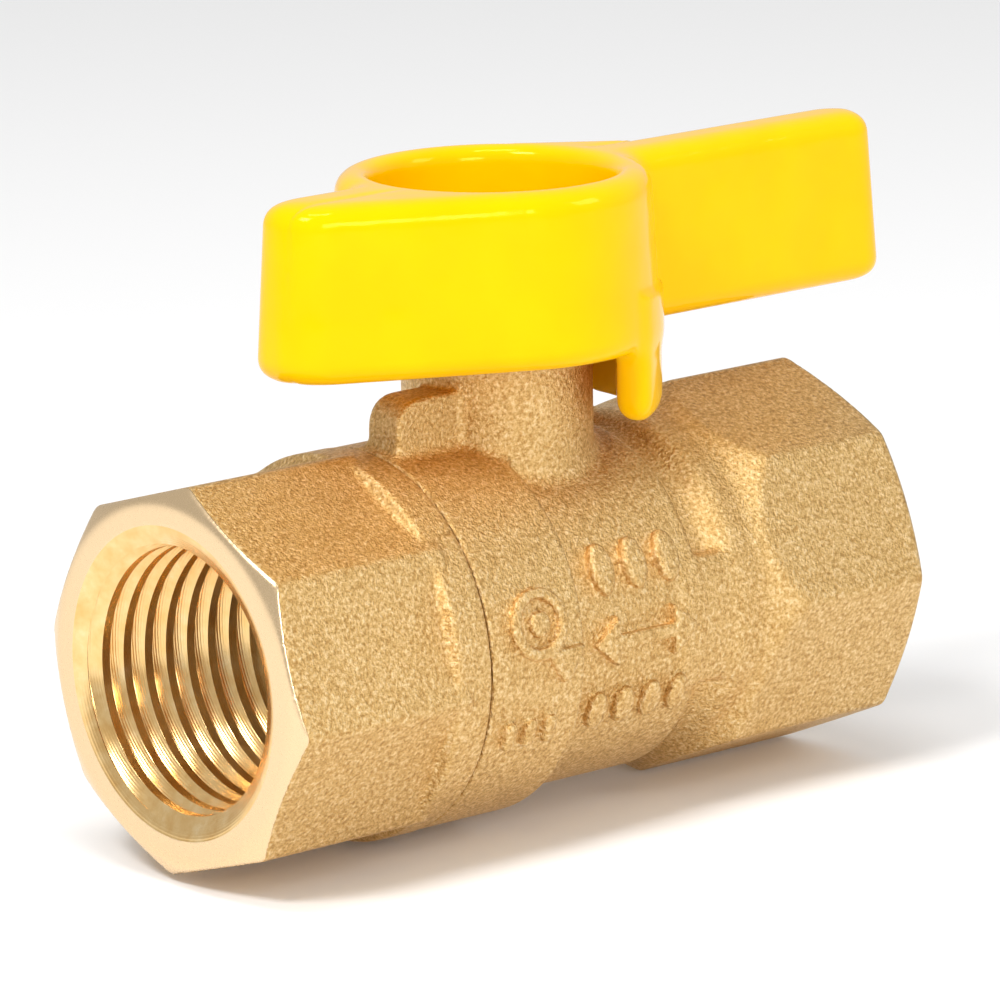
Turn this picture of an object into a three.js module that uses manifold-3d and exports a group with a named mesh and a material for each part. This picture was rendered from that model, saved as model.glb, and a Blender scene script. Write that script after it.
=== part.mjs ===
// Two-piece forged brass gas ball valve, 1/2 inch female pipe threads, with an offset wing handle.
// Millimetres, +Z up. The origin is the ball's centre, where the pipe axis (X) meets the stem axis (Z).
// The valve is modelled open, so the handle lies along the pipe.

import * as THREE from 'three';
import { mergeVertices } from 'three/addons/utils/BufferGeometryUtils.js';
import Module from 'manifold-3d';

const wasm = await Module();
wasm.setup();

// Ends and barrel, along X.
const NEAR_FACE = -29.6;          // face of the end connector
const FAR_FACE = 28.4;            // face of the body
const SEAM = -12.55;              // where the connector meets the body
const STEP = -4.1;                // the collar ends and the thinner middle starts
const GROOVE_FROM = 7.9;          // groove before the far octagon
const GROOVE_TO = 9.6;
const PAD_HALF = 4.6;             // half height of the pads that bridge the groove at both sides
const NEAR_FLAT = 12.85;          // from the axis to the near octagon's flats
const FAR_FLAT = 13.05;           // from the axis to the far octagon's flats
const FACE_RADIUS = 12.5;         // turned face, inside the corner chamfer
const COLLAR_RADIUS = 13.6;
const MIDDLE_RADIUS = 12.5;
const WAIST_RADIUS = 11.6;
const CONNECTOR_TURN = THREE.MathUtils.degToRad(6.5);

// Pipe threads: 14 threads to the inch on a 1 in 16 taper, so the radius falls 1 in 32.
const THREAD_MOUTH = 11.1;        // radius of the lead-in chamfer
const THREAD_RADIUS = 9.9;        // mean radius at the face
const THREAD_DEPTH = 16;
const TAPER = 1 / 32;

// Ball, seats and the screwed joint.
const PORT_RADIUS = 6.3;
const BALL_RADIUS = 10.5;
const CAVITY_RADIUS = 11.1;
const SEAT_OUTER = 9.4;
const SEAT_INNER_FACE = 7.6;      // distance from the ball's centre to the seat's ball side
const SEAT_OUTER_FACE = 10.4;
const SPIGOT_RADIUS = 11.3;
const SPIGOT_END = -7;
const SOCKET_RADIUS = 11.6;
const SOCKET_END = -5.4;
const GAP = 0.3;                  // between pieces that touch

// Stem and neck, along Z.
const NECK_RADIUS = 6.7;
const NECK_TOP = 18.8;
const STEM_RADIUS = 3;
const STEM_FLANGE = 4.2;
const SLOT_FLOOR = 7.7;
const TANG_THICK = 2.6;
const PACKING_RADIUS = 5;
const PACKING_FLOOR = 14.6;
const LUG_REACH = 11.5;
const LUG_TOP = 16.9;
const LUG_WIDTH = 3.2;
const SECOND_LUG_TURN = 196;      // degrees round the neck from the first stop lug

// Handle.
const HANDLE_BOTTOM = 19.2;
const HANDLE_TOP = 31.6;
const RING_RADIUS = 11.2;
const CUP_RADIUS = 8.6;
const CUP_FLOOR = 22.4;
const WING_HALF = 2.7;            // half of a wing's thickness
const SHORT_WING = -20.3;
const LONG_WING = 35.3;
const SKIRT_BOTTOM = 14;
const SKIRT_INNER = 8.9;
const SKIRT_OUTER = 11.6;
const SKIRT_FROM = THREE.MathUtils.degToRad(-68);
const SKIRT_TO = THREE.MathUtils.degToRad(12);
const COAT = 0.6;                 // thickness of the dipped coating
const CORE_FLOOR = CUP_FLOOR - COAT - GAP; // bare floor of the cup, under the washers
const BOLT_RADIUS = 2.4;          // threaded tip of the stem
const AROUND = 40;                // facets round a full turn

// ---------------------------------------------------------------- solids

function toSolid(geometry) {
  const plain = geometry.clone();
  plain.deleteAttribute('normal');
  plain.deleteAttribute('uv');
  const merged = mergeVertices(plain, 1e-4);
  const source = merged.index.array;
  const kept = [];
  for (let i = 0; i < source.length; i += 3) {
    const [a, b, c] = [source[i], source[i + 1], source[i + 2]];
    if (a !== b && b !== c && c !== a) kept.push(a, b, c);
  }
  const vertProperties = new Float32Array(merged.attributes.position.array);
  const mesh = new wasm.Mesh({ numProp: 3, vertProperties, triVerts: new Uint32Array(kept) });
  return new wasm.Manifold(mesh);
}

function toGeometry(solid) {
  const { vertProperties, triVerts } = solid.getMesh();
  const geometry = new THREE.BufferGeometry();
  geometry.setAttribute('position', new THREE.BufferAttribute(new Float32Array(vertProperties), 3));
  geometry.setIndex(new THREE.BufferAttribute(new Uint32Array(triVerts), 1));
  geometry.computeVertexNormals();
  return geometry;
}

// A lathe profile is a list of [radius, place along the axis], counter-clockwise round the metal.
function lathe(profile, around = AROUND) {
  const points = profile.map(([radius, along]) => new THREE.Vector2(radius, along));
  return new THREE.LatheGeometry(points, around);
}

function turnedAlongX(profile, around) {
  return toSolid(lathe(profile, around).rotateZ(-Math.PI / 2));
}

function turnedAlongZ(profile, around) {
  return toSolid(lathe(profile, around).rotateX(Math.PI / 2));
}

function cylinderZ(radius, from, to, around = AROUND) {
  return turnedAlongZ([[0, from], [radius, from], [radius, to], [0, to]], around);
}

function cylinderX(radius, from, to, around = AROUND) {
  return turnedAlongX([[0, from], [radius, from], [radius, to], [0, to]], around);
}

function washer(inner, outer, from, to, around = AROUND) {
  return turnedAlongZ([[inner, from], [outer, from], [outer, to], [inner, to], [inner, from]], around);
}

function box(low, high) {
  const size = high.map((value, i) => value - low[i]);
  const middle = high.map((value, i) => (value + low[i]) / 2);
  return toSolid(new THREE.BoxGeometry(...size).translate(...middle));
}

function extruded(shape, from, to, curveSegments = 6) {
  const options = { depth: to - from, bevelEnabled: false, curveSegments };
  return toSolid(new THREE.ExtrudeGeometry(shape, options).translate(0, 0, from));
}

// ---------------------------------------------------------------- body and end connector

// An octagonal end with a corner at the top, its face turned flat and its corners chamfered.
function octagonEnd(inner, face, flat) {
  const out = Math.sign(face);
  const length = Math.abs(face - inner);
  const corner = flat / Math.cos(Math.PI / 8);
  const prism = new THREE.CylinderGeometry(corner, corner, length, 8);
  const stock = toSolid(prism.rotateZ(-Math.PI / 2).translate((face + inner) / 2, 0, 0));
  const rise = corner + 1 - FACE_RADIUS;
  const ends = [[0, inner], [corner - 1.4, inner], [corner + 1, inner + out * 4.4],
    [corner + 1, face - out * rise * 0.45], [FACE_RADIUS, face], [0, face]];
  return stock.intersect(turnedAlongX(out > 0 ? ends : ends.reverse()));
}

// The space of one tapered pipe thread, from its face inwards, with the lead-in chamfer.
function threadSpace(face) {
  const out = Math.sign(face);
  const end = face - out * THREAD_DEPTH;
  const lead = THREAD_MOUTH - THREAD_RADIUS;
  const outline = [[0, end], [THREAD_RADIUS - THREAD_DEPTH * TAPER, end],
    [THREAD_RADIUS, face - out * lead], [THREAD_MOUTH, face], [THREAD_MOUTH, face + out], [0, face + out]];
  return turnedAlongX(out > 0 ? outline : outline.reverse());
}

// A stop lug on the neck: a low wall standing out along -X, with its outer top corner rounded.
function stopLug() {
  const side = new THREE.Shape();
  side.moveTo(-4, 8);
  side.lineTo(-4, LUG_TOP);
  side.lineTo(-LUG_REACH + 2.5, LUG_TOP);
  side.absarc(-LUG_REACH + 2.5, LUG_TOP - 2.5, 2.5, Math.PI / 2, Math.PI, false);
  side.lineTo(-LUG_REACH, 8);
  side.closePath();
  const wall = new THREE.ExtrudeGeometry(side, { depth: LUG_WIDTH, bevelEnabled: false, curveSegments: 4 });
  return toSolid(wall.rotateX(Math.PI / 2).translate(0, 0.2, 0));
}

function bodyOutside() {
  const barrel = turnedAlongX([[0, SEAM + GAP / 2], [COLLAR_RADIUS - 0.1, SEAM + GAP / 2],
    [COLLAR_RADIUS - 0.1, STEP - 0.1], [MIDDLE_RADIUS, STEP + 0.1], [MIDDLE_RADIUS, GROOVE_FROM],
    [WAIST_RADIUS, GROOVE_FROM + 0.4], [WAIST_RADIUS, GROOVE_TO], [MIDDLE_RADIUS + 0.1, GROOVE_TO + 1.4],
    [MIDDLE_RADIUS + 0.2, GROOVE_TO + 5], [0, GROOVE_TO + 5]]);
  const across = cylinderX(MIDDLE_RADIUS, GROOVE_FROM - 1, GROOVE_TO + 2);
  const pads = across.intersect(box([-40, -20, -PAD_HALF], [40, 20, PAD_HALF]));
  const neck = turnedAlongZ([[0, 0], [NECK_RADIUS + 0.8, 0], [NECK_RADIUS + 0.8, 11.8],
    [NECK_RADIUS, 12.8], [NECK_RADIUS, NECK_TOP], [0, NECK_TOP]]);
  const farLug = stopLug().rotate([0, 0, SECOND_LUG_TURN]);
  const octagon = octagonEnd(GROOVE_TO + 3.4, FAR_FACE, FAR_FLAT);
  return barrel.add(pads).add(octagon).add(neck).add(stopLug()).add(farLug);
}

// Room in the body for the ball, the far seat, the connector's spigot and the far pipe.
function bodyInside() {
  const through = turnedAlongX([[0, SEAM - 1], [SOCKET_RADIUS, SEAM - 1], [SOCKET_RADIUS, SOCKET_END],
    [CAVITY_RADIUS, SOCKET_END], [CAVITY_RADIUS, 4], [SEAT_OUTER + GAP, 6.6],
    [SEAT_OUTER + GAP, SEAT_OUTER_FACE + GAP], [PORT_RADIUS + 0.2, SEAT_OUTER_FACE + GAP],
    [PORT_RADIUS + 0.2, FAR_FACE - THREAD_DEPTH + 1], [0, FAR_FACE - THREAD_DEPTH + 1]]);
  const stemWay = turnedAlongZ([[0, 0], [STEM_FLANGE + 0.3, 0], [STEM_FLANGE + 0.3, 13.2],
    [STEM_RADIUS + 0.15, 13.2], [STEM_RADIUS + 0.15, PACKING_FLOOR], [PACKING_RADIUS, PACKING_FLOOR],
    [PACKING_RADIUS, NECK_TOP + 1], [0, NECK_TOP + 1]], 32);
  return through.add(threadSpace(FAR_FACE)).add(stemWay);
}

function body() {
  return bodyOutside().subtract(bodyInside());
}

function endConnector() {
  const collar = turnedAlongX([[0, -16.4], [NEAR_FLAT - 0.6, -16.4], [COLLAR_RADIUS, -15.7],
    [COLLAR_RADIUS, SEAM - GAP / 2], [SPIGOT_RADIUS, SEAM - GAP / 2], [SPIGOT_RADIUS, SPIGOT_END],
    [0, SPIGOT_END]]);
  const way = turnedAlongX([[0, NEAR_FACE + THREAD_DEPTH - 1], [PORT_RADIUS + 0.2, NEAR_FACE + THREAD_DEPTH - 1],
    [PORT_RADIUS + 0.2, -SEAT_OUTER_FACE - GAP], [SEAT_OUTER + GAP, -SEAT_OUTER_FACE - GAP],
    [SEAT_OUTER + GAP, SPIGOT_END + 1], [0, SPIGOT_END + 1]]);
  const octagon = octagonEnd(SEAM - 1.6, NEAR_FACE, NEAR_FLAT);
  return octagon.add(collar).subtract(way.add(threadSpace(NEAR_FACE)));
}

function bodyJointSeal() {
  const from = SPIGOT_END + GAP;
  const to = SOCKET_END - GAP;
  return turnedAlongX([[CAVITY_RADIUS - 0.9, from], [SOCKET_RADIUS - GAP, from],
    [SOCKET_RADIUS - GAP, to], [CAVITY_RADIUS - 0.9, to], [CAVITY_RADIUS - 0.9, from]]);
}

// ---------------------------------------------------------------- ball and seats

function ball() {
  const sphere = toSolid(new THREE.SphereGeometry(BALL_RADIUS, 32, 20).rotateX(Math.PI / 2));
  const port = cylinderX(PORT_RADIUS, -BALL_RADIUS - 1, BALL_RADIUS + 1);
  const slotHalf = TANG_THICK / 2 + 0.15;
  const slot = box([-slotHalf, -BALL_RADIUS, SLOT_FLOOR], [slotHalf, BALL_RADIUS, BALL_RADIUS + 1]);
  return sphere.subtract(port).subtract(slot);
}

// A seat ring with a cone that faces the ball and just clears it.
function seatRing(side) {
  const clear = BALL_RADIUS + 0.1;
  const lipRadius = PORT_RADIUS + 0.2;
  const lip = Math.sqrt(clear ** 2 - lipRadius ** 2) + 0.15;
  const rim = Math.max(SEAT_INNER_FACE, Math.sqrt(clear ** 2 - (SEAT_OUTER - 1) ** 2));
  const outline = [[lipRadius, lip], [SEAT_OUTER - 1, rim], [SEAT_OUTER, rim],
    [SEAT_OUTER, SEAT_OUTER_FACE], [lipRadius, SEAT_OUTER_FACE], [lipRadius, lip]];
  const ring = turnedAlongX(outline);
  return side > 0 ? ring : ring.rotate([0, 0, 180]);
}

// ---------------------------------------------------------------- stem and its seals

function stem() {
  const shaft = turnedAlongZ([[0, 10.6], [STEM_FLANGE, 10.6], [STEM_FLANGE, 11.9], [STEM_RADIUS, 12.2],
    [STEM_RADIUS, 13.5], [STEM_RADIUS - 0.7, 13.6], [STEM_RADIUS - 0.7, 14.4], [STEM_RADIUS, 14.5],
    [STEM_RADIUS, CORE_FLOOR - 0.2], [BOLT_RADIUS, CORE_FLOOR - 0.1], [BOLT_RADIUS, 26.2],
    [BOLT_RADIUS - 0.4, 26.6], [0, 26.6]], 32);
  const tang = box([-TANG_THICK / 2, -3.4, SLOT_FLOOR + 0.3], [TANG_THICK / 2, 3.4, 11]);
  const flatCut = box([-4, 2.1, NECK_TOP + 0.4], [4, 5, CORE_FLOOR]);
  return shaft.add(tang).subtract(flatCut).subtract(flatCut.mirror([0, 1, 0]));
}

function stemThrustWasher() {
  return washer(STEM_RADIUS + 0.1, STEM_FLANGE, 12.3, 13.1, 32);
}

function stemORing() {
  const inner = STEM_RADIUS - 0.62;
  const outer = STEM_RADIUS + 0.05;
  return washer(inner, outer, 13.68, 14.32, 32);
}

function stemPacking() {
  return washer(STEM_RADIUS + 0.1, PACKING_RADIUS - 0.1, PACKING_FLOOR + 0.1, 16.4, 32);
}

// A threaded bush that presses on the packing, with a screwdriver slot across its top.
function packingGland() {
  const slot = box([-PACKING_RADIUS, -0.6, NECK_TOP - 0.7], [PACKING_RADIUS, 0.6, NECK_TOP + 1]);
  return washer(STEM_RADIUS + 0.15, PACKING_RADIUS - 0.1, 16.6, NECK_TOP - 0.1, 32).subtract(slot);
}

// ---------------------------------------------------------------- handle

// The handle's plan: a ring with a short wing along -X and a long wing along +X. The short wing's
// front side and the long wing's back side run straight off the ring; the other sides meet it square.
function handlePlan(inset) {
  const ring = RING_RADIUS - inset;
  const half = WING_HALF - inset;
  const left = SHORT_WING + inset;
  const right = LONG_WING - inset;
  const round = 1.4 - inset;
  const tangentAt = tangentAngle(-left, half, ring);
  const tangentFar = tangentAngle(15, half, ring);
  const square = Math.asin(half / ring);
  const plan = new THREE.Shape();
  plan.moveTo(right, -half + round);
  plan.lineTo(right, half - round);
  plan.absarc(right - round, half - round, round, 0, Math.PI / 2, false);
  plan.lineTo(15, half);
  plan.absarc(0, 0, ring, tangentFar, Math.PI - square, false);
  plan.lineTo(left + round, half);
  plan.absarc(left + round, half - round, round, Math.PI / 2, Math.PI, false);
  plan.lineTo(left, -half + round);
  plan.absarc(left + round, -half + round, round, Math.PI, Math.PI * 1.4, false);
  plan.absarc(0, 0, ring, Math.PI + tangentAt, Math.PI * 2 - square, false);
  plan.lineTo(right - round, -half);
  plan.absarc(right - round, -half + round, round, -Math.PI / 2, 0, false);
  return plan;
}

// The angle, seen from the ring's centre, where a line from (reach, half) touches the ring.
function tangentAngle(reach, half, ring) {
  return Math.atan2(half, reach) + Math.acos(ring / Math.hypot(reach, half));
}

// A curved wall under the ring that runs between the two stop lugs.
function skirt(inset) {
  const slack = inset / SKIRT_OUTER;
  const wall = new THREE.Shape();
  wall.absarc(0, 0, SKIRT_OUTER - inset, SKIRT_FROM + slack, SKIRT_TO - slack, false);
  wall.absarc(0, 0, SKIRT_INNER + inset, SKIRT_TO - slack, SKIRT_FROM + slack, true);
  wall.closePath();
  return extruded(wall, SKIRT_BOTTOM + inset, HANDLE_BOTTOM + 2, 10);
}

function handleSolid(inset) {
  const bottom = HANDLE_BOTTOM + inset;
  const top = HANDLE_TOP - inset;
  const cup = cylinderZ(CUP_RADIUS + inset, CUP_FLOOR - inset, HANDLE_TOP + 1);
  return extruded(handlePlan(inset), bottom, top, 12).add(skirt(inset)).subtract(cup);
}

function handleCore() {
  const stemHole = cylinderZ(STEM_RADIUS + 0.1, HANDLE_BOTTOM - 1, HANDLE_TOP, 32);
  const flats = box([-4, -2.2, HANDLE_BOTTOM - 1], [4, 2.2, HANDLE_TOP]);
  return handleSolid(COAT + GAP).subtract(stemHole.intersect(flats));
}

function handleCoating() {
  const masked = cylinderZ(6, HANDLE_BOTTOM - 1, CUP_FLOOR + 1, 32);
  return handleSolid(0).subtract(handleSolid(COAT)).subtract(masked);
}

function hexNut() {
  const blank = new THREE.CylinderGeometry(4.6, 4.6, 3, 6).rotateX(Math.PI / 2).translate(0, 0, 24.7);
  const crown = turnedAlongZ([[0, 23.1], [4.15, 23.1], [4.7, 23.5], [4.7, 25.7], [4.15, 26.2], [0, 26.2]], 32);
  return toSolid(blank).intersect(crown).subtract(cylinderZ(BOLT_RADIUS + 0.1, 22, 27, 32));
}

function handleWasher() {
  return washer(BOLT_RADIUS + 0.2, 5.2, CORE_FLOOR + 0.05, CORE_FLOOR + 0.85, 32);
}

// A spring lock washer, split at one side.
function lockWasher() {
  const ring = washer(BOLT_RADIUS + 0.2, 4.2, CORE_FLOOR + 0.9, CORE_FLOOR + 1.5, 32);
  return ring.subtract(box([2, -0.3, CORE_FLOOR], [6, 0.3, CORE_FLOOR + 3]));
}

// ---------------------------------------------------------------- the valve

const FINISHES = {
  forgedBrass: new THREE.MeshStandardMaterial({ color: 0xc89a5c, roughness: 0.5, metalness: 0.9 }),
  turnedBrass: new THREE.MeshStandardMaterial({ color: 0xe3b878, roughness: 0.3, metalness: 1 }),
  chrome: new THREE.MeshStandardMaterial({ color: 0xd8dadd, roughness: 0.12, metalness: 1 }),
  seal: new THREE.MeshStandardMaterial({ color: 0xf2f0ea, roughness: 0.55, metalness: 0 }),
  rubber: new THREE.MeshStandardMaterial({ color: 0x1c1c1e, roughness: 0.7, metalness: 0 }),
  dieCast: new THREE.MeshStandardMaterial({ color: 0x9a9ca0, roughness: 0.5, metalness: 0.9 }),
  vinyl: new THREE.MeshStandardMaterial({ color: 0xffdd05, roughness: 0.2, metalness: 0 }),
  zinc: new THREE.MeshStandardMaterial({ color: 0xc3c6c9, roughness: 0.35, metalness: 1 }),
};

function piece(name, solid, finish) {
  const mesh = new THREE.Mesh(toGeometry(solid), FINISHES[finish]);
  mesh.name = name;
  return mesh;
}

const connector = piece('end_connector', endConnector(), 'forgedBrass');
connector.rotation.x = CONNECTOR_TURN;

const shell = new THREE.Group();
shell.add(piece('body', body(), 'forgedBrass'));
shell.add(connector);
shell.add(piece('body_joint_seal', bodyJointSeal(), 'seal'));
shell.add(piece('seat_ring_near', seatRing(-1), 'seal'));
shell.add(piece('seat_ring_far', seatRing(1), 'seal'));
shell.add(piece('stem_packing', stemPacking(), 'seal'));
shell.add(piece('packing_gland', packingGland(), 'turnedBrass'));

const turning = new THREE.Group();
turning.add(piece('stem', stem(), 'turnedBrass'));
turning.add(piece('stem_thrust_washer', stemThrustWasher(), 'seal'));
turning.add(piece('stem_o_ring', stemORing(), 'rubber'));
turning.add(piece('handle_core', handleCore(), 'dieCast'));
turning.add(piece('handle_coating', handleCoating(), 'vinyl'));
turning.add(piece('handle_washer', handleWasher(), 'zinc'));
turning.add(piece('handle_lock_washer', lockWasher(), 'zinc'));
turning.add(piece('handle_nut', hexNut(), 'zinc'));

const valve = new THREE.Group();
valve.add(shell);
valve.add(turning);
valve.add(piece('ball', ball(), 'chrome'));

export default valve;
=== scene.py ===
"""Looks of a two-piece brass gas ball valve with a yellow dip-coated wing handle.

Shapes are worked out in millimetres in the model's own frame: X along the pipe, Z up the stem,
the origin at the ball's centre. They are scaled to metres when a mesh is made.
"""

import math

import bmesh
import bpy
import numpy as np
from mathutils import Matrix, Vector


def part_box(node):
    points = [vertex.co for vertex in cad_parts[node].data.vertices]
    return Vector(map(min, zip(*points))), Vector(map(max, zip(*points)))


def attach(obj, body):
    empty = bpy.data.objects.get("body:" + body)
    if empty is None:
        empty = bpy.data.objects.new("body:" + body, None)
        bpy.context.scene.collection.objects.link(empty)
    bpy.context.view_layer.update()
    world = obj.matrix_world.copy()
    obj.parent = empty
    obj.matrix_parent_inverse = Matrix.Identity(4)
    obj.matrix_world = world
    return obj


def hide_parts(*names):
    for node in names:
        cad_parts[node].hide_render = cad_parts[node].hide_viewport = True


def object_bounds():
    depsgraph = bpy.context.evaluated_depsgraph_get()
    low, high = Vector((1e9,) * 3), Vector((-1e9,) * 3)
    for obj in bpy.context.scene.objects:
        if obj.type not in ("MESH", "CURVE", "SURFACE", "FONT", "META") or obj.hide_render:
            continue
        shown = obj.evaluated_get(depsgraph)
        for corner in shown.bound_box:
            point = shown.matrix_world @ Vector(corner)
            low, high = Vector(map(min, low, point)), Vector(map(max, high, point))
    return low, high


MM = 0.001

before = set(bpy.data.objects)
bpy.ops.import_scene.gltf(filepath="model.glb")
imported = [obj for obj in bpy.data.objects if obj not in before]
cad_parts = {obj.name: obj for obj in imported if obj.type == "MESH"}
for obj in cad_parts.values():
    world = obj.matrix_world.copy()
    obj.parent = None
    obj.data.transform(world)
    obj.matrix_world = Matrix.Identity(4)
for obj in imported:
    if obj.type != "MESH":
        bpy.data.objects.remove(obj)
cad_low, cad_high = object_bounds()


# ---------------------------------------------------------------- sizes, from the frame or in mm

def low_mm(node):
    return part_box(node)[0] / MM


def high_mm(node):
    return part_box(node)[1] / MM


NEAR_FACE = low_mm("end_connector").x
FAR_FACE = high_mm("body").x
SEAM = low_mm("body").x - 0.15
NECK_TOP = high_mm("body").z
HANDLE_TOP = high_mm("handle_coating").z
SKIRT_BOTTOM = low_mm("handle_coating").z
SHORT_WING = low_mm("handle_coating").x
LONG_WING = high_mm("handle_coating").x
BALL_RADIUS = high_mm("ball").y

# The two octagonal ends: centre to flat, and the chamfer turned round each face.
NEAR_FLAT = 12.85
FAR_FLAT = 13.05
CONNECTOR_TURN = math.radians(-6.5)
FACE_RADIUS = 12.5
FACE_SLOPE = 0.45

# The barrel: radii, and the places along X where they change.
COLLAR = 13.6
STEP = -4.1
MIDDLE = 12.5
GROOVE_FROM = 7.9
WAIST = 11.6
NECK = 6.7
PORT = 6.5
MARK_HEIGHT = 0.7
COLLAR_MARK_HEIGHT = 0.45

# The pipe threads, 14 to the inch: radius at the lands, groove depth, and extent from the face.
PITCH = 25.4 / 14
TAPER = 1 / 32
CREST = 9.3
THREAD_HEIGHT = 0.84
THREAD_START = -3.36
THREAD_DEPTH = 15.4
THREAD_TURNS = 12
MOUTH = 10.9

# The handle: ring and cup about the stem, half the wings' width, and the sides' draft.
HANDLE_BOTTOM = 19.2
RING = 11.55
CUP = 8.55
CUP_FLOOR = 22.4
WING_HALF = 2.8
DRAFT = 0.045
COATING_THICKNESS = 0.9

# The photograph's view, in degrees, and the lens in pixels of a 1000-pixel image.
CAMERA_AZIMUTH = -40.78
CAMERA_ELEVATION = 12.8
CAMERA_ROLL = -1.07
CAMERA_DISTANCE = 506.4
CAMERA_SHIFT_RIGHT = -0.08
CAMERA_SHIFT_UP = 7.76
FOCAL_PIXELS = 7204.6
SENSOR_WIDTH = 36


# ---------------------------------------------------------------- fields and their surface

def smooth_min(a, b, blend):
    near = np.maximum(blend - np.abs(a - b), 0) / blend
    return np.minimum(a, b) - near * near * blend / 4


def smooth_max(a, b, blend):
    return -smooth_min(-a, -b, blend)


def smooth_step(value, low, high):
    t = np.clip((value - low) / (high - low), 0, 1)
    return t * t * (3 - 2 * t)


def surface_net(field, low, high, step):
    """Vertices and quads of the surface where field is 0, on a grid from low to high."""
    axes = [np.arange(lo, hi + step, step, dtype=np.float32) for lo, hi in zip(low, high)]
    values = field(*np.meshgrid(*axes, indexing="ij", sparse=True)).astype(np.float32)
    inside = values < 0
    count = np.zeros([n - 1 for n in values.shape], np.int8)
    corners = [(i, j, k) for i in (0, 1) for j in (0, 1) for k in (0, 1)]
    cut = [slice(0, -1), slice(1, None)]
    for i, j, k in corners:
        count += inside[cut[i], cut[j], cut[k]]
    cells = np.argwhere((count > 0) & (count < 8))
    number = np.full(count.shape, -1, np.int32)
    number[tuple(cells.T)] = np.arange(len(cells))
    total = np.zeros((len(cells), 3))
    crossings = np.zeros(len(cells))
    for corner in corners:
        for axis in range(3):
            if corner[axis]:
                continue
            start = cells + np.array(corner)
            end = start.copy()
            end[:, axis] += 1
            a, b = values[tuple(start.T)], values[tuple(end.T)]
            crosses = (a < 0) != (b < 0)
            t = np.where(crosses, a / np.where(crosses, a - b, 1), 0)
            point = start.astype(float)
            point[:, axis] += t
            total += point * crosses[:, None]
            crossings += crosses
    points = total / crossings[:, None] * step + np.array(low)
    quads = []
    for axis in range(3):
        first = [slice(None)] * 3
        second = [slice(None)] * 3
        first[axis], second[axis] = slice(0, -1), slice(1, None)
        a, b = inside[tuple(first)], inside[tuple(second)]
        edges = np.argwhere(a != b)
        leaving = a[tuple(edges.T)]
        u, v = (axis + 1) % 3, (axis + 2) % 3
        ring = []
        for du, dv in ((-1, -1), (0, -1), (0, 0), (-1, 0)):
            cell = edges.copy()
            cell[:, u] += du
            cell[:, v] += dv
            ring.append(number[tuple(cell.T)])
        quad = np.stack(ring, 1)
        quad[~leaving] = quad[~leaving][:, ::-1]
        quads.append(quad)
    return settle(field, points, step), np.concatenate(quads)


def settle(field, points, step):
    """Moves the vertices onto the surface along the field's slope."""
    reach = 0.02
    for _ in range(3):
        here = field(*points.T)
        slope = np.empty_like(points)
        for axis in range(3):
            shift = np.zeros(3)
            shift[axis] = reach
            ahead, behind = field(*(points + shift).T), field(*(points - shift).T)
            slope[:, axis] = (ahead - behind) / (2 * reach)
        size = np.maximum((slope ** 2).sum(1), 1e-6)
        move = slope * (here / size)[:, None]
        length = np.linalg.norm(move, axis=1)
        limit = np.minimum(1, 0.4 * step / np.maximum(length, 1e-9))
        points = points - move * limit[:, None]
    return points


def mesh_object(name, points, faces):
    """A mesh object from points in millimetres."""
    mesh = bpy.data.meshes.new(name)
    if isinstance(faces, np.ndarray):
        faces = faces.tolist()
    mesh.from_pydata((np.asarray(points) * MM).tolist(), [], faces)
    mesh.validate()
    piece = bpy.data.objects.new(name, mesh)
    bpy.context.scene.collection.objects.link(piece)
    return piece


def formed(name, field, low, high, step):
    return mesh_object(name, *surface_net(field, low, high, step))


def turned(name, profile, around=128, axis="X"):
    """A solid turned about an axis, from (radius, place along) points that start and end on it."""
    rims = [p for p in profile if p[0] > 1e-6]
    angle = np.arange(around) * 2 * math.pi / around
    points = []
    for radius, along in rims:
        ring = np.stack([np.full(around, along), radius * np.cos(angle), radius * np.sin(angle)], 1)
        points.append(ring)
    closed = profile[0][0] > 1e-6
    faces = []
    last = len(rims) if closed else len(rims) - 1
    for k in range(last):
        a, b = k * around, (k + 1) % len(rims) * around
        for i in range(around):
            j = (i + 1) % around
            faces.append((a + i, a + j, b + j, b + i))
    if not closed:
        poles = np.array([[profile[0][1], 0, 0], [profile[-1][1], 0, 0]])
        points.append(poles)
        start, end = len(rims) * around, len(rims) * around + 1
        for i in range(around):
            j = (i + 1) % around
            faces.append((start, j, i))
            faces.append((end, (len(rims) - 1) * around + i, (len(rims) - 1) * around + j))
    coordinates = np.concatenate(points)
    if axis == "Z":
        coordinates = coordinates[:, [1, 2, 0]]
    piece = mesh_object(name, coordinates, faces)
    outward(piece)
    return piece


def outward(piece):
    """Turns every face of a closed mesh outwards."""
    mesh = bmesh.new()
    mesh.from_mesh(piece.data)
    bmesh.ops.recalc_face_normals(mesh, faces=mesh.faces)
    mesh.to_mesh(piece.data)
    mesh.free()


def combine(piece, tool, operation):
    modifier = piece.modifiers.new("combine", "BOOLEAN")
    modifier.operation = operation
    modifier.solver = "MANIFOLD"
    modifier.object = tool
    apply_modifiers(piece)
    bpy.data.objects.remove(tool)


def apply_modifiers(piece):
    evaluated = piece.evaluated_get(bpy.context.evaluated_depsgraph_get())
    made = bpy.data.meshes.new_from_object(evaluated)
    piece.modifiers.clear()
    piece.data = made


def shade(piece, degrees=35):
    piece.data.shade_smooth()
    piece.data.set_sharp_from_angle(angle=math.radians(degrees))


# ---------------------------------------------------------------- threads

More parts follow.
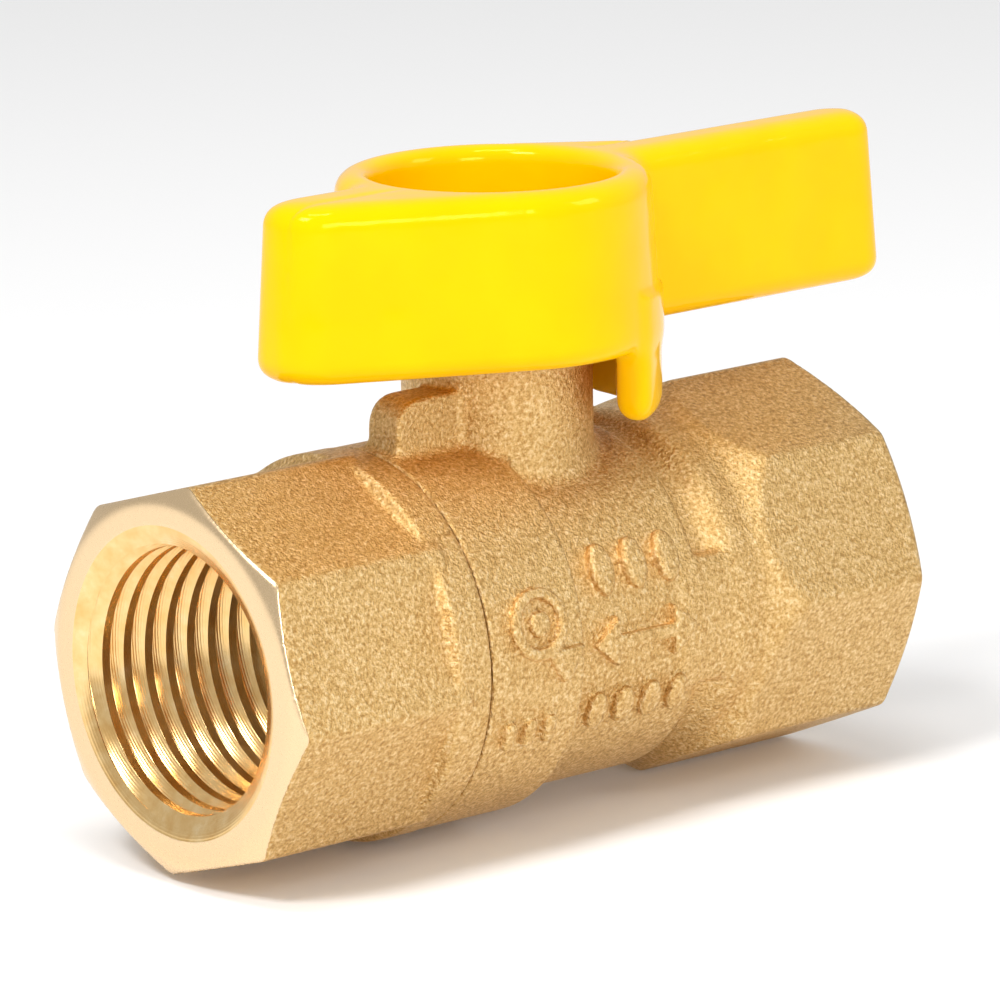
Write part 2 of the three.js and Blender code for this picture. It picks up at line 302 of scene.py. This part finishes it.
def thread_space(name, face):
    """The room that a tapered pipe thread takes: lands and grooves along a right-hand helix."""
    inward = -math.copysign(1, face)
    around = 120
    # Shares of the pitch and of the groove's depth.
    profile = [(0, 0), (0.18, 0), (0.21, 0.07), (0.44, 0.94),
               (0.5, 1), (0.56, 0.94), (0.79, 0.07), (0.82, 0)]
    rows = len(profile)
    last = rows * THREAD_TURNS
    points = []
    for i in range(around):
        turn = i / around
        angle = -inward * 2 * math.pi * turn
        for j in range(last + 1):
            share, height = profile[j % rows]
            depth = THREAD_START + (j // rows + share + turn) * PITCH
            fade = 1 - float(smooth_step(depth, THREAD_DEPTH - PITCH, THREAD_DEPTH))
            radius = CREST - depth * TAPER + height * THREAD_HEIGHT * fade
            along = face + inward * depth
            points.append((along, radius * math.sin(angle), radius * math.cos(angle)))

    def index(i, j):
        return i * (last + 1) + j

    faces = []
    for i in range(around - 1):
        for j in range(last):
            faces.append((index(i, j), index(i + 1, j), index(i + 1, j + 1), index(i, j + 1)))
    # After a full turn, a row meets the row one pitch further on.
    end = around - 1
    for j in range(last - rows):
        faces.append((index(end, j), index(0, j + rows), index(0, j + rows + 1), index(end, j + 1)))
    mouth = [index(i, 0) for i in range(around)]
    mouth += [index(0, j) for j in range(rows, 0, -1)]
    depth_end = [index(i, last) for i in range(around)]
    depth_end += [index(end, last - j) for j in range(1, rows + 1)]
    points.append((face + inward * (THREAD_START - 3), 0, 0))
    points.append((face + inward * (THREAD_START + (THREAD_TURNS + 3) * PITCH), 0, 0))
    for loop, tip in ((mouth, len(points) - 2), (depth_end, len(points) - 1)):
        for a, b in zip(loop, loop[1:] + loop[:1]):
            faces.append((a, b, tip))
    piece = mesh_object(name, points, faces)
    outward(piece)
    return piece


def cut_pipe_end(piece, face, end_profile):
    """Cuts the thread, its lead-in chamfer and the bore behind it."""
    inward = -math.copysign(1, face)
    combine(piece, thread_space("thread_tool", face), "DIFFERENCE")
    lead = [(0, face - inward * 2), (MOUTH + 1, face - inward * 1), (MOUTH, face),
            (10.15, face + inward * 0.35), (CREST - 0.04, face + inward * 0.85),
            (CREST - 0.4, face + inward * 0.95), (0, face + inward * 0.95)]
    combine(piece, turned("lead_tool", lead), "DIFFERENCE")
    combine(piece, turned("bore_tool", end_profile), "DIFFERENCE")


# ---------------------------------------------------------------- brass forgings

def octagon(y, z, turn, flat_to_centre):
    """Distance from an octagonal bar along X, with slightly rounded corners."""
    angle = np.arctan2(y, z) - turn
    from_middle = np.mod(angle, math.pi / 4) - math.pi / 8
    radius = np.hypot(y, z)
    flat = radius * np.cos(from_middle)
    beside = radius * np.cos(np.abs(from_middle) - math.pi / 4)
    return smooth_max(flat, beside, 0.3) - flat_to_centre


def turned_face(x, radius, face):
    """Distance past an end face and the chamfer turned round it."""
    past = np.abs(x) - abs(face)
    chamfer = (past + FACE_SLOPE * (radius - FACE_RADIUS)) / math.hypot(1, FACE_SLOPE)
    return smooth_max(past, chamfer, 0.2)


def stop_lug(x, y, z):
    """The lug beside the neck that the handle's skirt stops against."""
    reach = 11.7
    side = smooth_max(y - 0.2, -3.05 - y, 0.4)
    crown = smooth_max(z - 17.15, -reach - x, 2.4)
    block = smooth_max(smooth_max(side, crown, 0.35), x + 4, 0.3)
    return np.maximum(block, 8 - z)


def turn_about_z(x, y, degrees):
    c, s = math.cos(math.radians(degrees)), math.sin(math.radians(degrees))
    return x * c + y * s, y * c - x * s


def rod(along, across, low, high, half):
    """A flat bar with rounded ends: distance in a plane."""
    middle, reach = (low + high) / 2, (high - low) / 2 - half
    return np.hypot(np.maximum(np.abs(along - middle) - reach, 0), across) - half


def pip(across, along, slimness, half):
    """A tall oval, half wide on each side: roughly a distance in a plane."""
    return (np.hypot(across, along * slimness) - half) * 0.8


def cast_marks(x, y, z):
    """Generic founders' marks on both sides: a flow arrow and two rows of pips."""
    drop = np.arctan2(np.abs(y), z) * MIDDLE
    marks = rod(x, drop - 19.6, -1.4, 5.8, 0.5)
    for tip, way in ((-2.6, 1), (7.0, -1)):
        back = (x - tip) * way
        marks = np.minimum(marks, np.maximum(np.abs(drop - 19.6) - back * 0.8, back - 2.3) * 0.75)
    for k in range(3):
        marks = np.minimum(marks, pip(x - (-1.0 + 3.0 * k), drop - 14.5, 0.55, 1.0))
    for k in range(4):
        marks = np.minimum(marks, pip(x - (-1.8 + 2.5 * k), drop - 24.4, 0.6, 0.85))
    return marks


def collar_marks(x, y, z):
    """Generic marks on both sides of the collar: a ring with a disc, a wedge and three bars."""
    drop = np.arctan2(np.abs(y), z) * COLLAR
    away = np.hypot(x + 8.2, drop - 18.6)
    marks = np.minimum(np.abs(away - 2.1) - 0.42, away - 0.9)
    wedge = np.maximum(np.abs(x + 6.1) * 1.6 - (23.4 - drop), drop - 23.0) * 0.6
    marks = np.minimum(marks, np.maximum(wedge, 20.6 - drop))
    for k in range(3):
        marks = np.minimum(marks, rod(drop, x - (-10.6 + 1.8 * k), 25.2, 27.4, 0.5))
    return marks


def raised(marks, radius, top):
    """Marks cut off at the radius that they rise to."""
    return smooth_max(marks, radius - top, 0.3)


def far_ring(x, radius):
    """The rounded ledge beyond the groove."""
    slope = (radius - WAIST - (x - 9.7) * 0.85) * 0.76
    return smooth_max(smooth_max(radius - 12.68, slope, 0.6), x - 20, 0.1)


def body_field(x, y, z):
    """Distance from the body's outside."""
    radius = np.hypot(y, z)
    collar = smooth_max(radius - (COLLAR - 0.06), x - STEP, 0.3)
    collar = smooth_max(collar, SEAM + 0.08 - x, 0.2)
    marks = raised(collar_marks(x, y, z), radius, COLLAR + COLLAR_MARK_HEIGHT)
    collar = smooth_min(collar, marks, 0.12)
    middle = smooth_max(radius - MIDDLE, np.maximum(x - GROOVE_FROM, SEAM - x + 2), 0.4)
    marks = raised(cast_marks(x, y, z), radius, MIDDLE + MARK_HEIGHT)
    middle = smooth_min(middle, marks, 0.12)
    core = np.maximum(radius - WAIST, np.maximum(x - 16, SEAM - x + 2))
    # The octagon starts sooner on its underside.
    low_side = smooth_step(-z, 4, 11.5)
    cone = (radius - 12.75 - (x - 13.7 + 2.6 * low_side) * (0.5 + 0.3 * low_side)) * 0.87
    end = smooth_max(octagon(y, z, 0, FAR_FLAT), cone, 0.2)
    end = smooth_max(end, turned_face(x, radius, FAR_FACE), 0.25)
    end = np.maximum(end, 8 - x)
    pad_edges = smooth_max(np.abs(z + 0.1) - 4.6, np.abs(x - 10) - 4, 0.5)
    pad = smooth_max(radius - 12.58, pad_edges, 0.5)
    shape = smooth_min(np.minimum(collar, middle), core, 0.4)
    shape = smooth_min(shape, far_ring(x, radius), 0.5)
    shape = smooth_min(smooth_min(shape, pad, 0.4), end, 0.35)
    stem_radius = np.hypot(x, y)
    neck = smooth_max(stem_radius - NECK, z - NECK_TOP, 0.3)
    neck = np.maximum(neck, -z)
    lugs = np.minimum(stop_lug(x, y, z), stop_lug(*turn_about_z(x, y, 196), z))
    neck = smooth_min(neck, lugs, 0.5)
    return smooth_min(shape, neck, 0.9)


def make_body():
    """The forging, with its thread, the ball's cavity and the stem's way cut out of it."""
    low = (SEAM - 0.9, -15, -15)
    high = (FAR_FACE + 0.9, 15, NECK_TOP + 0.9)
    body = formed("body_forging", body_field, low, high, GRID)
    bore = [(0, 9.0), (PORT, 9.0), (PORT, FAR_FACE - 16.4), (8.6, FAR_FACE - 16.2),
            (8.8, FAR_FACE - 13), (0, FAR_FACE - 13)]
    cut_pipe_end(body, FAR_FACE, bore)
    cavity = [(0, SEAM - 1), (11.6, SEAM - 1), (11.6, -5.4), (11.1, -5.4),
              (11.1, 4), (9.7, 6.6), (9.7, 10.7), (0, 10.7)]
    combine(body, turned("cavity_tool", cavity), "DIFFERENCE")
    stem_way = [(0, 0), (4.5, 0), (4.5, 13.2), (3.15, 13.2), (3.15, 14.6), (5, 14.6),
                (5, NECK_TOP - 0.3), (5.4, NECK_TOP + 0.1), (5.4, NECK_TOP + 1), (0, NECK_TOP + 1)]
    combine(body, turned("stem_tool", stem_way, axis="Z"), "DIFFERENCE")
    return body


def connector_field(x, y, z):
    """Distance from the end connector's outside, with the spigot inside the body."""
    radius = np.hypot(y, z)
    octagon_side = octagon(y, z, CONNECTOR_TURN, NEAR_FLAT)
    end = smooth_max(octagon_side, turned_face(x, radius, NEAR_FACE), 0.25)
    end = smooth_max(end, x + 14.4, 0.4)
    shoulder = (-15.5 - x + (radius - COLLAR) * 0.45) * 0.91
    collar = smooth_max(radius - COLLAR, shoulder, 0.2)
    collar = smooth_max(collar, x - (SEAM - 0.08), 0.2)
    spigot = np.maximum(np.maximum(radius - 11.3, x + 7), -18 - x)
    return np.minimum(smooth_min(end, collar, 0.2), spigot)


def make_connector():
    """The end connector, with its thread and the bore behind it cut out."""
    low = (NEAR_FACE - 0.9, -15, -15)
    high = (-6, 15, 15)
    connector = formed("end_connector_forging", connector_field, low, high, GRID)
    bore = [(0, NEAR_FACE + 13), (8.8, NEAR_FACE + 13), (8.6, NEAR_FACE + 16.2),
            (PORT, NEAR_FACE + 16.4), (PORT, -10.7), (9.7, -10.7), (9.7, -6), (0, -6)]
    cut_pipe_end(connector, NEAR_FACE, bore)
    return connector


def make_ball():
    """A ball with its port along X and the stem's slot across its top."""
    port = 6.3
    rounded = 0.4
    mouth = math.acos(port / BALL_RADIUS)
    half_steps = 24
    profile = []
    for step in range(-half_steps, half_steps + 1):
        angle = mouth * step / half_steps
        profile.append((BALL_RADIUS * math.cos(angle), BALL_RADIUS * math.sin(angle)))
    edge = BALL_RADIUS * math.sin(mouth)
    profile += [(port, edge - rounded), (port, -edge + rounded)]
    piece = turned("ball_polished", profile, 96)
    bpy.ops.mesh.primitive_cube_add(size=MM, location=(0, 0, (7.7 + 3) * MM))
    slot = bpy.context.object
    slot.scale = (2.9, 24, 6)
    bpy.context.view_layer.update()
    combine(piece, slot, "DIFFERENCE")
    return piece


# ---------------------------------------------------------------- handle

def tangent_angle(reach, half, ring):
    """The angle about the ring at which a line from the point (reach, half) touches it."""
    return math.atan2(half, reach) + math.acos(ring / math.hypot(reach, half))


def web(x, y, reach, half, ring):
    """The straight side that runs off the ring to the point (reach, half), on the side y > 0."""
    angle = tangent_angle(reach, half, ring)
    outward_side = x * math.cos(angle) + y * math.sin(angle) - ring
    before_touch = y * math.cos(angle) - x * math.sin(angle)
    return np.maximum(np.maximum(outward_side, before_touch), -y)


def handle_plan(x, y):
    """Distance from the handle's outline at its bottom."""
    ring = np.hypot(x, y) - RING
    beside = np.abs(y) - WING_HALF
    short = smooth_max(np.maximum(beside, x), SHORT_WING - x, 2.4)
    long = smooth_max(np.maximum(beside, -x), x - LONG_WING, 2.2)
    plan = smooth_min(ring, np.minimum(short, long), 2.2)
    front_web = web(-x, -y, -SHORT_WING, WING_HALF, RING)
    plan = np.minimum(plan, smooth_max(front_web, SHORT_WING - x, 2.4))
    return np.minimum(plan, web(x, y, 15, WING_HALF, RING))


def handle_field(x, y, z):
    """Distance from the coated handle's outside: slab, skirt over the stop lug, and cup."""
    plan = handle_plan(x, y) + DRAFT * (z - HANDLE_BOTTOM)
    slab = smooth_max(plan, np.maximum(z - HANDLE_TOP, HANDLE_BOTTOM - z), 1.7)
    radius = np.hypot(x, y)
    angle = np.arctan2(y, x)
    middle, half_sweep = math.radians(-28), math.radians(40)
    ends = (np.abs(angle - middle) - half_sweep) * radius
    wall = smooth_max(radius - RING, 8.9 - radius, 1.2)
    skirt = smooth_max(wall, ends, 1.3)
    skirt = smooth_max(skirt, SKIRT_BOTTOM - z, 1.9)
    skirt = np.maximum(skirt, z - 23)
    shape = smooth_min(slab, skirt, 0.9)
    cup = smooth_max(radius - CUP + 0.03 * (HANDLE_TOP - z), CUP_FLOOR - z, 0.8)
    return smooth_max(shape, -cup, 1.2)


def core_field(x, y, z):
    return handle_field(x, y, z) + COATING_THICKNESS


def make_coating():
    """The vinyl skin, open over the cup's floor where the nut clamps the casting."""
    low = (SHORT_WING - 0.9, -13, SKIRT_BOTTOM - 0.9)
    high = (LONG_WING + 0.9, 13, HANDLE_TOP + 0.9)
    coating = formed("handle_vinyl", handle_field, low, high, GRID)
    room = [(0, HANDLE_BOTTOM - 1), (6, HANDLE_BOTTOM - 1),
            (6, CUP_FLOOR + 1), (0, CUP_FLOOR + 1)]
    combine(coating, turned("room_tool", room, axis="Z"), "DIFFERENCE")
    return coating


def make_core():
    """The cast handle inside the coating."""
    low = (SHORT_WING, -13, SKIRT_BOTTOM)
    high = (LONG_WING, 13, HANDLE_TOP)
    core = formed("handle_casting", core_field, low, high, 0.5)
    hole = [(0, HANDLE_BOTTOM - 1), (3.1, HANDLE_BOTTOM - 1),
            (3.1, HANDLE_TOP), (0, HANDLE_TOP)]
    combine(core, turned("hole_tool", hole, axis="Z"), "DIFFERENCE")
    return core


# ---------------------------------------------------------------- materials

class Nodes:
    """A material's node tree, with short calls to add to it."""

    def __init__(self, name):
        self.material = bpy.data.materials.new(name)
        self.material.use_nodes = True
        self.tree = self.material.node_tree
        self.shader = self.tree.nodes["Principled BSDF"]
        place = self.add("ShaderNodeTexCoord")
        scale = self.add("ShaderNodeVectorMath", operation="SCALE")
        scale.inputs["Scale"].default_value = 1 / MM
        self.link(place.outputs["Object"], scale.inputs[0])
        self.place = scale.outputs[0]

    def add(self, kind, **settings):
        node = self.tree.nodes.new(kind)
        for key, value in settings.items():
            setattr(node, key, value)
        return node

    def link(self, source, target):
        self.tree.links.new(source, target)

    def noise(self, scale, detail=2, roughness=0.5):
        node = self.add("ShaderNodeTexNoise")
        node.inputs["Scale"].default_value = scale
        node.inputs["Detail"].default_value = detail
        node.inputs["Roughness"].default_value = roughness
        self.link(self.place, node.inputs["Vector"])
        return node.outputs["Fac"]

    def cells(self, scale):
        node = self.add("ShaderNodeTexVoronoi")
        node.inputs["Scale"].default_value = scale
        self.link(self.place, node.inputs["Vector"])
        return node.outputs["Distance"]

    def ramp(self, source, stops):
        node = self.add("ShaderNodeValToRGB")
        elements = node.color_ramp.elements
        while len(elements) < len(stops):
            elements.new(0.5)
        for element, (position, colour) in zip(elements, stops):
            element.position = position
            element.color = (*colour, 1)
        self.link(source, node.inputs["Fac"])
        return node.outputs["Color"]

    def math(self, operation, a, b=None, clamp=False):
        node = self.add("ShaderNodeMath", operation=operation, use_clamp=clamp)
        for socket, value in zip(node.inputs, (a, b)):
            if value is None:
                continue
            if isinstance(value, (int, float)):
                socket.default_value = value
            else:
                self.link(value, socket)
        return node.outputs[0]

    def mix(self, factor, a, b):
        node = self.add("ShaderNodeMix", data_type="RGBA")
        for socket, value in zip((node.inputs[0], node.inputs[6], node.inputs[7]), (factor, a, b)):
            if isinstance(value, tuple):
                socket.default_value = (*value, 1)
            elif isinstance(value, (int, float)):
                socket.default_value = value
            else:
                self.link(value, socket)
        return node.outputs[2]

    def bump(self, height, distance, strength=1.0, after=None):
        node = self.add("ShaderNodeBump")
        node.inputs["Distance"].default_value = distance * MM
        node.inputs["Strength"].default_value = strength
        self.link(height, node.inputs["Height"])
        if after is not None:
            self.link(after, node.inputs["Normal"])
        return node.outputs["Normal"]

    def set(self, **values):
        for key, value in values.items():
            socket = self.shader.inputs[key.replace("_", " ")]
            if isinstance(value, (int, float)):
                socket.default_value = value
            elif isinstance(value, tuple):
                socket.default_value = (*value, 1)
            else:
                self.link(value, socket)


def forged_brass():
    """Shot-blasted brass with a fine sparkling grain, and pale turned faces at both ends."""
    n = Nodes("forged_brass")
    parts = n.add("ShaderNodeSeparateXYZ")
    n.link(n.place, parts.inputs[0])
    x, y, z = parts.outputs
    radius = n.math("SQRT", n.math("ADD", n.math("MULTIPLY", y, y), n.math("MULTIPLY", z, z)))
    outside = n.math("SUBTRACT", radius, FACE_RADIUS)
    slope = n.math("MAXIMUM", n.math("MULTIPLY", outside, FACE_SLOPE), 0)
    near = n.math("SUBTRACT", n.math("SUBTRACT", x, NEAR_FACE), slope)
    far = n.math("SUBTRACT", n.math("SUBTRACT", FAR_FACE, x), slope)
    depth = n.math("MINIMUM", near, far)
    past_face = n.math("DIVIDE", n.math("SUBTRACT", depth, 0.12), 0.05, True)
    machined = n.math("SUBTRACT", 1, past_face, True)
    grain = n.noise(3.6, 4, 0.7)
    pits = n.cells(5.2)
    broad = n.noise(0.14, 2, 0.5)
    tone = n.ramp(grain, [(0.34, (0.42, 0.22, 0.06)), (0.5, (0.70, 0.45, 0.17)),
                          (0.67, (0.96, 0.75, 0.43))])
    tone = n.mix(n.math("MULTIPLY", broad, 0.3), tone, (0.60, 0.39, 0.16))
    tone = n.mix(machined, tone, (0.84, 0.62, 0.37))
    blasted = n.math("ADD", 0.3, n.math("MULTIPLY", grain, 0.24))
    rough = n.math("SUBTRACT", blasted, n.math("MULTIPLY", machined, 0.16))
    rise = n.math("ADD", grain, n.math("MULTIPLY", pits, 0.3))
    height = n.math("MULTIPLY", rise, n.math("SUBTRACT", 1, machined))
    n.set(Base_Color=tone, Metallic=1.0, Roughness=rough, Normal=n.bump(height, 0.13, 1.0))
    return n.material


def turned_brass():
    """Bright turned brass with faint tool rings and a brown tint in places."""
    n = Nodes("turned_brass")
    smear = n.noise(0.7, 3, 0.6)
    rings = n.add("ShaderNodeTexWave", wave_type="BANDS", bands_direction="X")
    rings.inputs["Scale"].default_value = 3.2
    rings.inputs["Distortion"].default_value = 0.6
    n.link(n.place, rings.inputs["Vector"])
    tone = n.ramp(smear, [(0.3, (0.82, 0.50, 0.18)), (0.6, (0.90, 0.62, 0.28)),
                          (0.8, (0.95, 0.72, 0.40))])
    rough = n.math("ADD", 0.16, n.math("MULTIPLY", smear, 0.14))
    tool_rings = n.bump(rings.outputs["Fac"], 0.01, 0.5)
    n.set(Base_Color=tone, Metallic=1.0, Roughness=rough, Normal=tool_rings)
    return n.material


def yellow_vinyl():
    """A thick glossy dip coating: soft waves, a few specks, and a clear skin."""
    n = Nodes("yellow_vinyl")
    waves = n.noise(0.22, 2, 0.5)
    specks = n.noise(5, 2, 0.6)
    tone = n.ramp(waves, [(0.3, (0.96, 0.52, 0.0)), (0.7, (0.96, 0.55, 0.0))])
    rough = n.math("ADD", 0.07, n.math("MULTIPLY", specks, 0.06))
    soft = n.bump(waves, 0.3, 0.4)
    n.set(Base_Color=tone, Roughness=rough, Normal=n.bump(specks, 0.01, 0.3, soft))
    n.set(Specular_IOR_Level=0.4, IOR=1.5, Specular_Tint=(1.0, 0.75, 0.15))
    return n.material


def plated(name, colour, roughness):
    """A plated or cast metal with cloudy tone and gloss."""
    n = Nodes(name)
    cloud = n.noise(0.9, 3, 0.6)
    tone = n.ramp(cloud, [(0.3, tuple(0.82 * c for c in colour)), (0.7, colour)])
    rough = n.math("ADD", roughness, n.math("MULTIPLY", cloud, 0.15))
    n.set(Base_Color=tone, Metallic=1.0, Roughness=rough, Normal=n.bump(n.noise(6, 2), 0.01, 0.4))
    return n.material


def soft_white():
    """PTFE, for the seats and packings."""
    n = Nodes("soft_white")
    cloud = n.noise(0.5, 2)
    tone = n.ramp(cloud, [(0.3, (0.86, 0.85, 0.80)), (0.7, (0.94, 0.93, 0.90))])
    n.set(Base_Color=tone, Roughness=0.5, Normal=n.bump(n.noise(4, 2), 0.02, 0.4))
    return n.material


def black_rubber():
    n = Nodes("black_rubber")
    tone = n.ramp(n.noise(1.5, 2), [(0.3, (0.012, 0.012, 0.013)), (0.7, (0.03, 0.03, 0.03))])
    n.set(Base_Color=tone, Roughness=0.55, Normal=n.bump(n.noise(8, 2), 0.01, 0.4))
    return n.material


def paint(piece, material):
    piece.data.materials.clear()
    piece.data.materials.append(material)


# ---------------------------------------------------------------- camera, floor and light

def direction(azimuth, elevation):
    """A unit vector from the object, in degrees: azimuth 0 looks at its front, from -Y."""
    a, e = math.radians(azimuth), math.radians(elevation)
    return Vector((math.sin(a) * math.cos(e), -math.cos(a) * math.cos(e), math.sin(e)))


def camera_axes(azimuth, elevation, roll):
    a, r = math.radians(azimuth), math.radians(roll)
    back = direction(azimuth, elevation)
    right = Vector((math.cos(a), math.sin(a), 0))
    up = back.cross(right)
    rolled_right = right * math.cos(r) + up * math.sin(r)
    rolled_up = up * math.cos(r) - right * math.sin(r)
    return rolled_right, rolled_up, back


def make_camera():
    right, up, back = camera_axes(CAMERA_AZIMUTH, CAMERA_ELEVATION, CAMERA_ROLL)
    data = bpy.data.cameras.new("camera")
    data.sensor_width = SENSOR_WIDTH
    data.lens = FOCAL_PIXELS * SENSOR_WIDTH / 1000
    data.clip_start, data.clip_end = 0.05, 20
    camera = bpy.data.objects.new("camera", data)
    camera.matrix_world = Matrix((right, up, back)).transposed().to_4x4()
    position = back * CAMERA_DISTANCE + right * CAMERA_SHIFT_RIGHT + up * CAMERA_SHIFT_UP
    camera.location = position * MM
    bpy.context.scene.collection.objects.link(camera)
    bpy.context.scene.camera = camera


def make_floor():
    """A plain pale floor, six metres wide, just under the lowest point."""
    gap = 0.2 * MM
    bpy.ops.mesh.primitive_plane_add(size=6, location=(0, 0, cad_low.z - gap))
    floor = bpy.context.object
    floor.name = "floor"
    material = bpy.data.materials.new("floor")
    material.use_nodes = True
    shader = material.node_tree.nodes["Principled BSDF"]
    shader.inputs["Base Color"].default_value = (0.95, 0.95, 0.95, 1)
    shader.inputs["Roughness"].default_value = 0.8
    paint(floor, material)


def area_light(name, azimuth, elevation, distance, size, power):
    """A soft rectangular light that faces the object from the given direction, in metres."""
    data = bpy.data.lights.new(name, "AREA")
    data.shape = "RECTANGLE"
    data.size, data.size_y = size
    data.energy = power
    light = bpy.data.objects.new(name, data)
    away = direction(azimuth, elevation)
    light.location = away * distance
    light.rotation_mode = "QUATERNION"
    light.rotation_quaternion = away.to_track_quat("Z", "Y")
    bpy.context.scene.collection.objects.link(light)


def make_light():
    world = bpy.data.worlds.new("studio")
    bpy.context.scene.world = world
    world.use_nodes = True
    background = world.node_tree.nodes["Background"]
    background.inputs["Color"].default_value = (1, 1, 1, 1)
    background.inputs["Strength"].default_value = 0.6
    area_light("key", -76, 50, 0.6, (0.16, 0.14), 2.0)
    area_light("front", -22, 18, 0.7, (0.24, 0.14), 1.1)
    area_light("fill", 34, 30, 0.7, (0.24, 0.2), 0.7)
    area_light("top", -50, 75, 0.6, (0.24, 0.08), 0.8)


# ---------------------------------------------------------------- the valve

GRID = 0.25


def place(piece, body, slot_name, node):
    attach(piece, body)
    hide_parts(node)


def two_finishes(piece, outside, inside, is_inside):
    """Gives the faces that the tools cut their own finish."""
    paint(piece, outside)
    piece.data.materials.append(inside)
    for face in piece.data.polygons:
        face.material_index = int(is_inside(face.center / MM))


def cut_by_tools(point):
    """Whether a face's middle is in a pipe bore, behind its mouth, or in the stem's way."""
    between_faces = NEAR_FACE + 0.05 < point.x < FAR_FACE - 0.05
    in_bore = math.hypot(point.y, point.z) < MOUTH + 0.05 and between_faces
    in_stem_way = math.hypot(point.x, point.y) < 5.3 and point.z > 5
    return in_bore or in_stem_way


bpy.context.scene.view_settings.view_transform = "Standard"
make_camera()
make_floor()
make_light()

forged, bright, vinyl = forged_brass(), turned_brass(), yellow_vinyl()
chrome = plated("chrome_plate", (0.85, 0.86, 0.88), 0.06)
zinc = plated("plated_steel", (0.72, 0.73, 0.75), 0.25)
cast = plated("die_cast", (0.5, 0.51, 0.53), 0.4)
white, black = soft_white(), black_rubber()

body = make_body()
two_finishes(body, forged, bright, cut_by_tools)
shade(body)
place(body, "valve_body", "forged_brass", "body")

connector = make_connector()
two_finishes(connector, forged, bright, cut_by_tools)
shade(connector)
place(connector, "valve_body", "forged_brass", "end_connector")

coating = make_coating()
paint(coating, vinyl)
shade(coating)
place(coating, "handle", "yellow_vinyl", "handle_coating")

core = make_core()
paint(core, cast)
shade(core)
place(core, "handle", "die_cast", "handle_core")

ball = make_ball()
paint(ball, chrome)
shade(ball)
place(ball, "ball", "chrome_plate", "ball")

finishes = {
    white: ("seat_ring_near", "seat_ring_far", "stem_packing", "body_joint_seal",
            "stem_thrust_washer"),
    black: ("stem_o_ring",),
    bright: ("packing_gland", "stem"),
    zinc: ("handle_washer", "handle_lock_washer", "handle_nut"),
}
for material, nodes in finishes.items():
    for node in nodes:
        paint(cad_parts[node], material)
